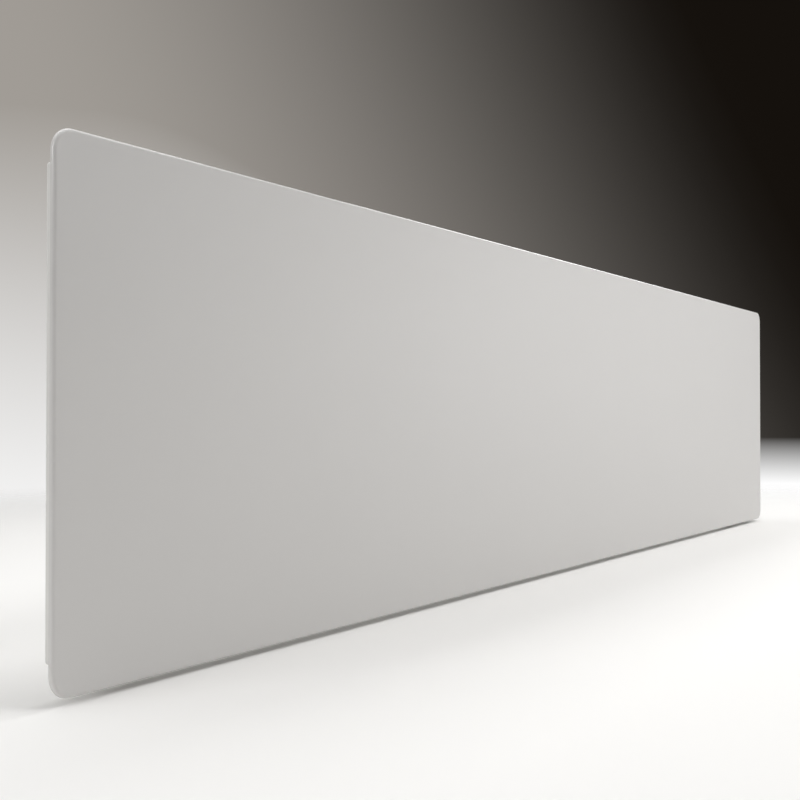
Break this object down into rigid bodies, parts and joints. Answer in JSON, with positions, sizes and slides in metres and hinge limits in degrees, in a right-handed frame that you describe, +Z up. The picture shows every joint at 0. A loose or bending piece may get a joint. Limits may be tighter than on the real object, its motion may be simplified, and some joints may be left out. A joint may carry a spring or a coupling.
{
  "type": "infrared panel heater",
  "caption": "Wall-hung infrared panel heater: satin glass plate on a folded steel housing with foil element, terminal bay, rocker switch and hook-on wall rail.",
  "frame": {"origin": "middle of the wall rail's back face, on the plane of the wall", "axes": "+X to the right seen from the front, along the panel; +Y from the front towards the wall; +Z up"},
  "size_m": [1.8, 0.048, 0.4],
  "materials": {
    "satin_glass": "satin etched front, white enamel fired on the back, ground edges",
    "silicone_adhesive": "cured silicone adhesive",
    "heater_film": "amber polyimide film",
    "resistance_foil": "etched resistance foil",
    "aluminium_sheet": "bright rolled sheet",
    "brass": "stamped brass",
    "powder_coated_steel": "fine matt white powder coat",
    "mineral_wool": "pressed mineral wool board",
    "zinc_plated_steel": "bright zinc plate",
    "stainless_steel": "plain stainless",
    "white_nylon": "moulded",
    "rubber_pad": "moulded",
    "black_nylon": "moulded",
    "brown_lead": "silicone insulated lead",
    "blue_lead": "silicone insulated lead",
    "green_lead": "silicone insulated lead"
  },
  "bodies": {
    "wall_mount": {"wall_rail": "powder_coated_steel"},
    "heater_panel": {"front_plate": "satin_glass", "bond_frame": "silicone_adhesive", "heater_film_front": "heater_film", "heating_foil": "resistance_foil", "heater_film_back": "heater_film", "reflector_sheet": "aluminium_sheet", "foil_terminal_1": "brass", "foil_terminal_2": "brass", "rear_housing": "powder_coated_steel", "insulation_board": "mineral_wool", "hook_left": "zinc_plated_steel", "hook_right": "zinc_plated_steel", "backing_plate_left": "zinc_plated_steel", "backing_plate_right": "zinc_plated_steel", "hook_rivet_1": "stainless_steel", "hook_rivet_2": "stainless_steel", "hook_rivet_3": "stainless_steel", "hook_rivet_4": "stainless_steel", "hook_rivet_5": "stainless_steel", "hook_rivet_6": "stainless_steel", "hook_rivet_7": "stainless_steel", "hook_rivet_8": "stainless_steel", "spacer_left": "white_nylon", "spacer_right": "white_nylon", "spacer_pad_left": "rubber_pad", "spacer_pad_right": "rubber_pad", "terminal_cover": "powder_coated_steel", "cover_screw_1": "stainless_steel", "cover_screw_2": "stainless_steel", "cover_screw_3": "stainless_steel", "cover_screw_4": "stainless_steel", "gland_body": "black_nylon", "gland_locknut": "black_nylon", "gland_cap": "black_nylon", "gland_seal": "rubber_pad", "switch_body": "black_nylon", "switch_tab_1": "brass", "switch_tab_2": "brass", "terminal_bracket": "zinc_plated_steel", "bracket_rivet": "stainless_steel", "terminal_block": "white_nylon", "earth_stud": "stainless_steel", "earth_washer": "stainless_steel", "earth_lug": "brass", "earth_nut": "stainless_steel", "thermal_cutout_1": "black_nylon", "thermal_cutout_2": "black_nylon", "lead_neutral": "blue_lead", "lead_live": "brown_lead", "lead_earth": "green_lead", "lead_switched": "brown_lead", "lead_link": "brown_lead", "lead_heater": "brown_lead"},
    "rocker": {"switch_rocker": "black_nylon"}
  },
  "joints": [
    {"name": "panel_lift", "type": "slide", "parent": "wall_mount", "child": "heater_panel", "axis": [0, 0, 1], "range_m": [0, 0.015]},
    {"name": "rocker_tilt", "type": "hinge", "parent": "heater_panel", "child": "rocker", "pos_m": [0.822, -0.03, -0.2918], "axis": [0, 1, 0], "range_deg": [-16, 0]}
  ]
}
